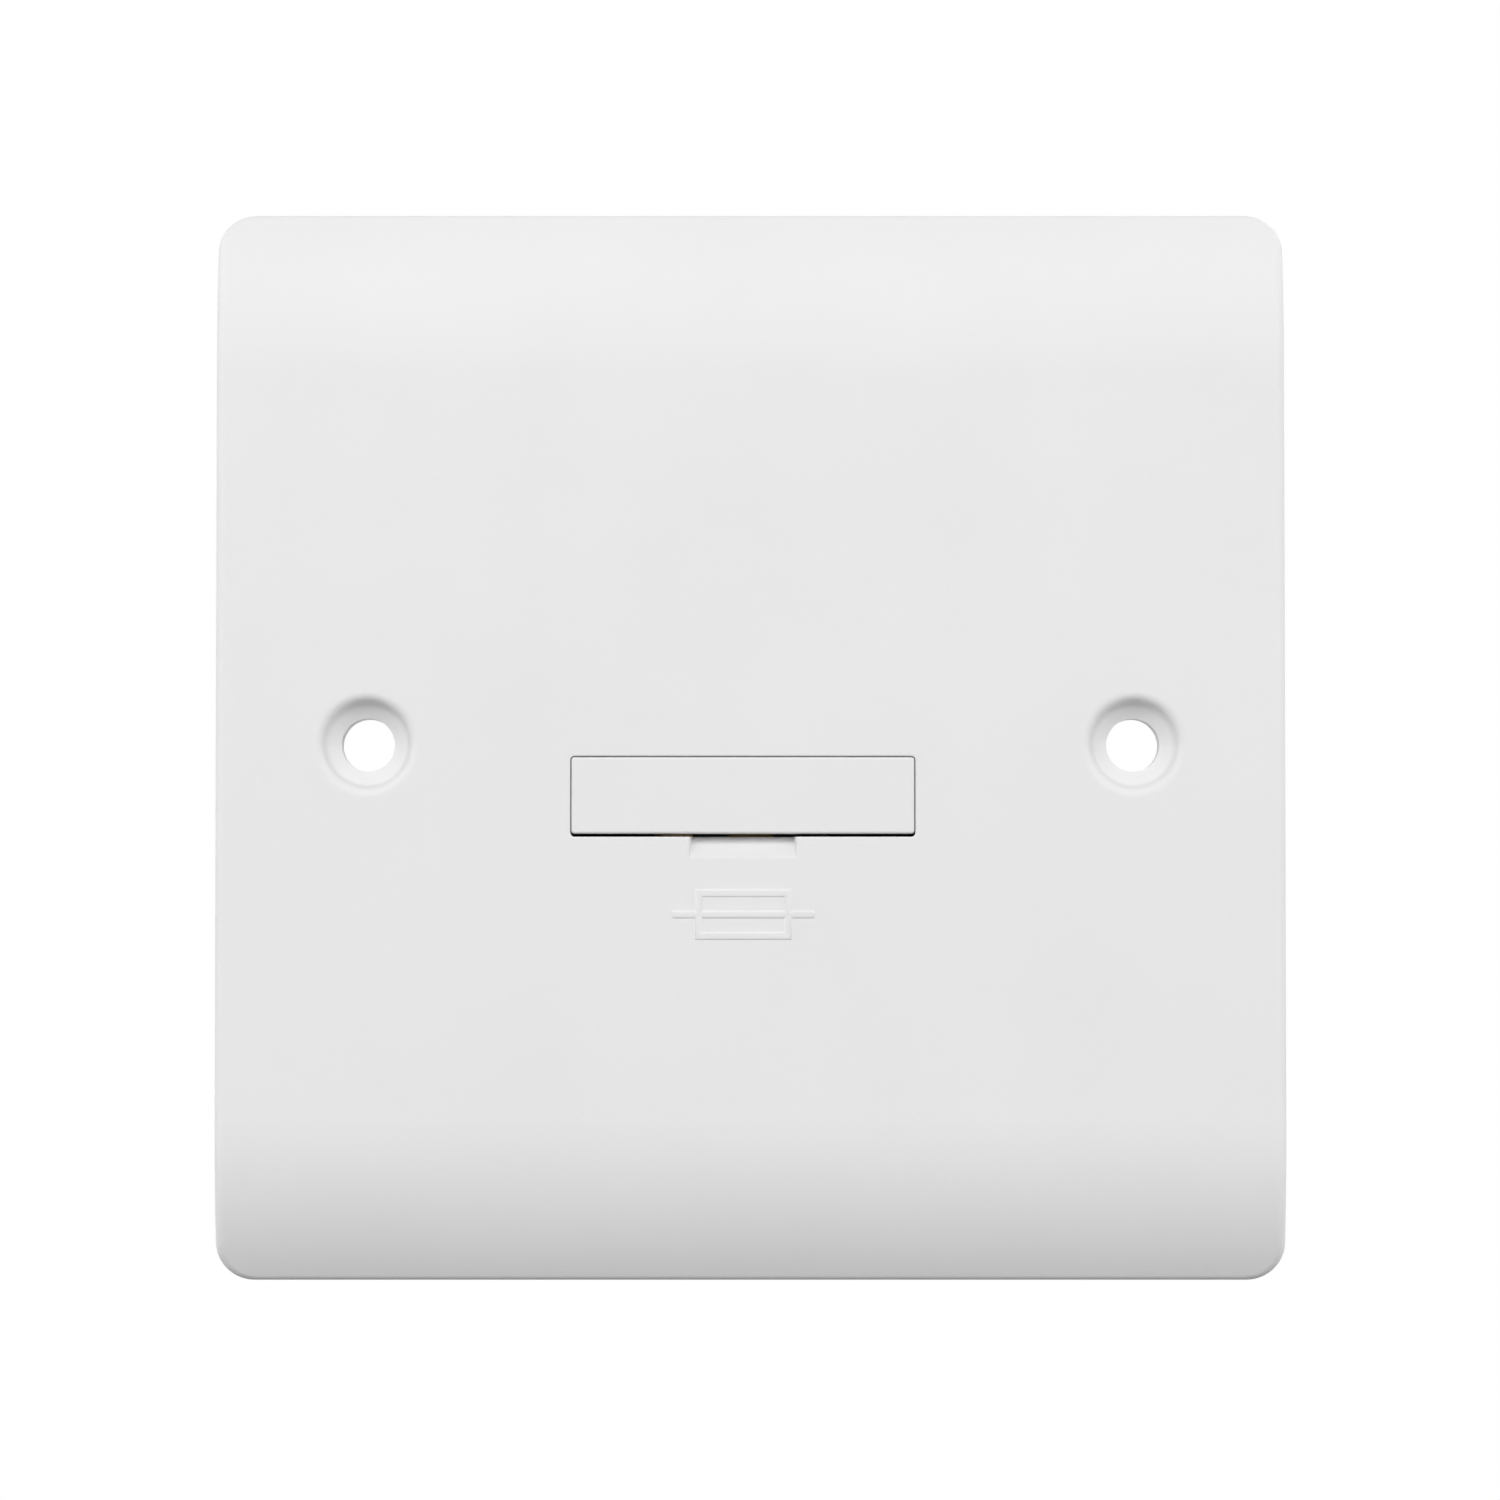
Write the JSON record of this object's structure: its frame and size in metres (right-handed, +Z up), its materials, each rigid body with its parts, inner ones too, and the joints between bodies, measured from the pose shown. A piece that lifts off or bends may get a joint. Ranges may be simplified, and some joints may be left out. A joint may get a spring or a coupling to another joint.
{
  "type": "fused spur unit",
  "caption": "Square white wall plate with curved top and bottom, a slide-out cartridge fuse drawer, countersunk fixing holes and a rear housing with pillar terminals.",
  "frame": {"origin": "middle of the plate, on the wall plane (the plate's rear rim)", "axes": "+X to the right as seen from the room, +Y into the wall, +Z up"},
  "size_m": [0.0846, 0.0235, 0.0846],
  "materials": {
    "white_moulding": "satin gloss",
    "housing_moulding": "matt",
    "brass": "machined",
    "spring_bronze": "rolled sheet",
    "plated_steel": "zinc plated",
    "ceramic": "matt fired",
    "nickel": "nickel plated",
    "fuse_wire": "drawn wire"
  },
  "bodies": {
    "unit": {"front_plate": "white_moulding", "rear_housing": "housing_moulding", "supply_line_terminal": "brass", "supply_earth_terminal": "brass", "supply_neutral_terminal": "brass", "load_line_terminal": "brass", "load_earth_terminal": "brass", "load_neutral_terminal": "brass", "earth_link": "brass", "neutral_link": "brass", "supply_fuse_clip": "spring_bronze", "load_fuse_clip": "spring_bronze", "housing_screws": "plated_steel"},
    "fuse_drawer": {"fuse_carrier": "white_moulding", "fuse_barrel": "ceramic", "fuse_element": "fuse_wire", "fuse_cap_left": "nickel", "fuse_cap_right": "nickel"},
    "supply_line_clamp": {"supply_line_screw": "plated_steel"},
    "supply_earth_clamp": {"supply_earth_screw": "plated_steel"},
    "supply_neutral_clamp": {"supply_neutral_screw": "plated_steel"},
    "load_line_clamp": {"load_line_screw": "plated_steel"},
    "load_earth_clamp": {"load_earth_screw": "plated_steel"},
    "load_neutral_clamp": {"load_neutral_screw": "plated_steel"}
  },
  "joints": [
    {"name": "drawer_slide", "type": "slide", "parent": "unit", "child": "fuse_drawer", "axis": [0, -1, 0], "range_m": [0, 0.0119]},
    {"name": "supply_line_screw_travel", "type": "slide", "parent": "unit", "child": "supply_line_clamp", "axis": [0, -1, 0], "range_m": [0, 0.0031]},
    {"name": "supply_earth_screw_travel", "type": "slide", "parent": "unit", "child": "supply_earth_clamp", "axis": [0, -1, 0], "range_m": [0, 0.0031]},
    {"name": "supply_neutral_screw_travel", "type": "slide", "parent": "unit", "child": "supply_neutral_clamp", "axis": [0, -1, 0], "range_m": [0, 0.0031]},
    {"name": "load_line_screw_travel", "type": "slide", "parent": "unit", "child": "load_line_clamp", "axis": [0, -1, 0], "range_m": [0, 0.0031]},
    {"name": "load_earth_screw_travel", "type": "slide", "parent": "unit", "child": "load_earth_clamp", "axis": [0, -1, 0], "range_m": [0, 0.0031]},
    {"name": "load_neutral_screw_travel", "type": "slide", "parent": "unit", "child": "load_neutral_clamp", "axis": [0, -1, 0], "range_m": [0, 0.0031]}
  ]
}
